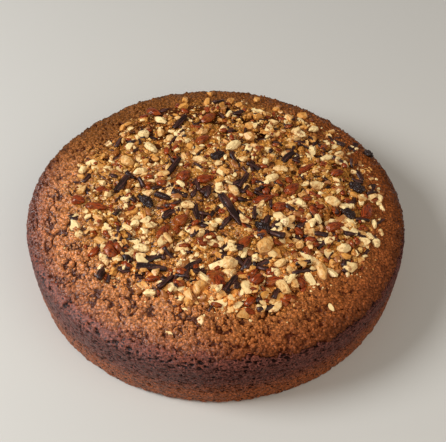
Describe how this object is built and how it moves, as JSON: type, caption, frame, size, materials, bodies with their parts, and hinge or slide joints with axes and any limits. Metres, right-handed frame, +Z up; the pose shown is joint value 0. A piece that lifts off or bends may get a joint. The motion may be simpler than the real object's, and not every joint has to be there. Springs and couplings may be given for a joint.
{
  "type": "honey cake",
  "caption": "Whole round honey cake with a domed, crumbly crust, covered in chopped nuts, red-skinned almonds, raisins and slivers of dark dried fruit.",
  "frame": {"origin": "centre of the flat underside, on the surface the cake stands on", "axes": "+Z up through the middle of the dome; -Y is the side that faces the camera, +X is to its right"},
  "size_m": [0.236, 0.2362, 0.0611],
  "materials": {
    "crust": "crumbly baked crust, golden and honey-glazed in the middle, dark reddish brown at the edge and side",
    "nut_flesh": "cut nut, cream to golden with toasted edges, slightly waxy",
    "almond_skin": "red-brown wrinkled nut skin under a thin shine",
    "dried_fruit": "dark brown ridged dried fruit",
    "raisin_skin": "near-black wrinkled raisin skin"
  },
  "bodies": {
    "root": {"cake": "crust", "nut_01": "nut_flesh", "nut_02": "nut_flesh", "nut_03": "nut_flesh", "nut_04": "nut_flesh", "nut_05": "nut_flesh", "nut_06": "nut_flesh", "nut_07": "nut_flesh", "nut_08": "nut_flesh", "nut_09": "nut_flesh", "nut_10": "nut_flesh", "nut_11": "nut_flesh", "nut_12": "nut_flesh", "nut_13": "nut_flesh", "nut_14": "nut_flesh", "nut_15": "nut_flesh", "nut_16": "nut_flesh", "nut_17": "nut_flesh", "nut_18": "nut_flesh", "nut_19": "nut_flesh", "nut_20": "nut_flesh", "almond_01": "almond_skin", "almond_02": "almond_skin", "almond_03": "almond_skin", "almond_04": "almond_skin", "almond_05": "almond_skin", "almond_06": "almond_skin", "almond_07": "almond_skin", "almond_08": "almond_skin", "almond_09": "almond_skin", "almond_10": "almond_skin", "almond_11": "almond_skin", "almond_12": "almond_skin", "almond_13": "almond_skin", "almond_14": "almond_skin", "almond_15": "almond_skin", "almond_16": "almond_skin", "almond_17": "almond_skin", "almond_18": "almond_skin", "almond_19": "almond_skin", "sliver_01": "dried_fruit", "sliver_02": "dried_fruit", "sliver_03": "dried_fruit", "sliver_04": "dried_fruit", "sliver_05": "dried_fruit", "sliver_06": "dried_fruit", "sliver_07": "dried_fruit", "sliver_08": "dried_fruit", "sliver_09": "dried_fruit", "sliver_10": "dried_fruit", "sliver_11": "dried_fruit", "raisin_01": "raisin_skin", "raisin_02": "raisin_skin", "raisin_03": "raisin_skin", "raisin_04": "raisin_skin", "raisin_05": "raisin_skin", "raisin_06": "raisin_skin"}
  },
  "joints": []
}
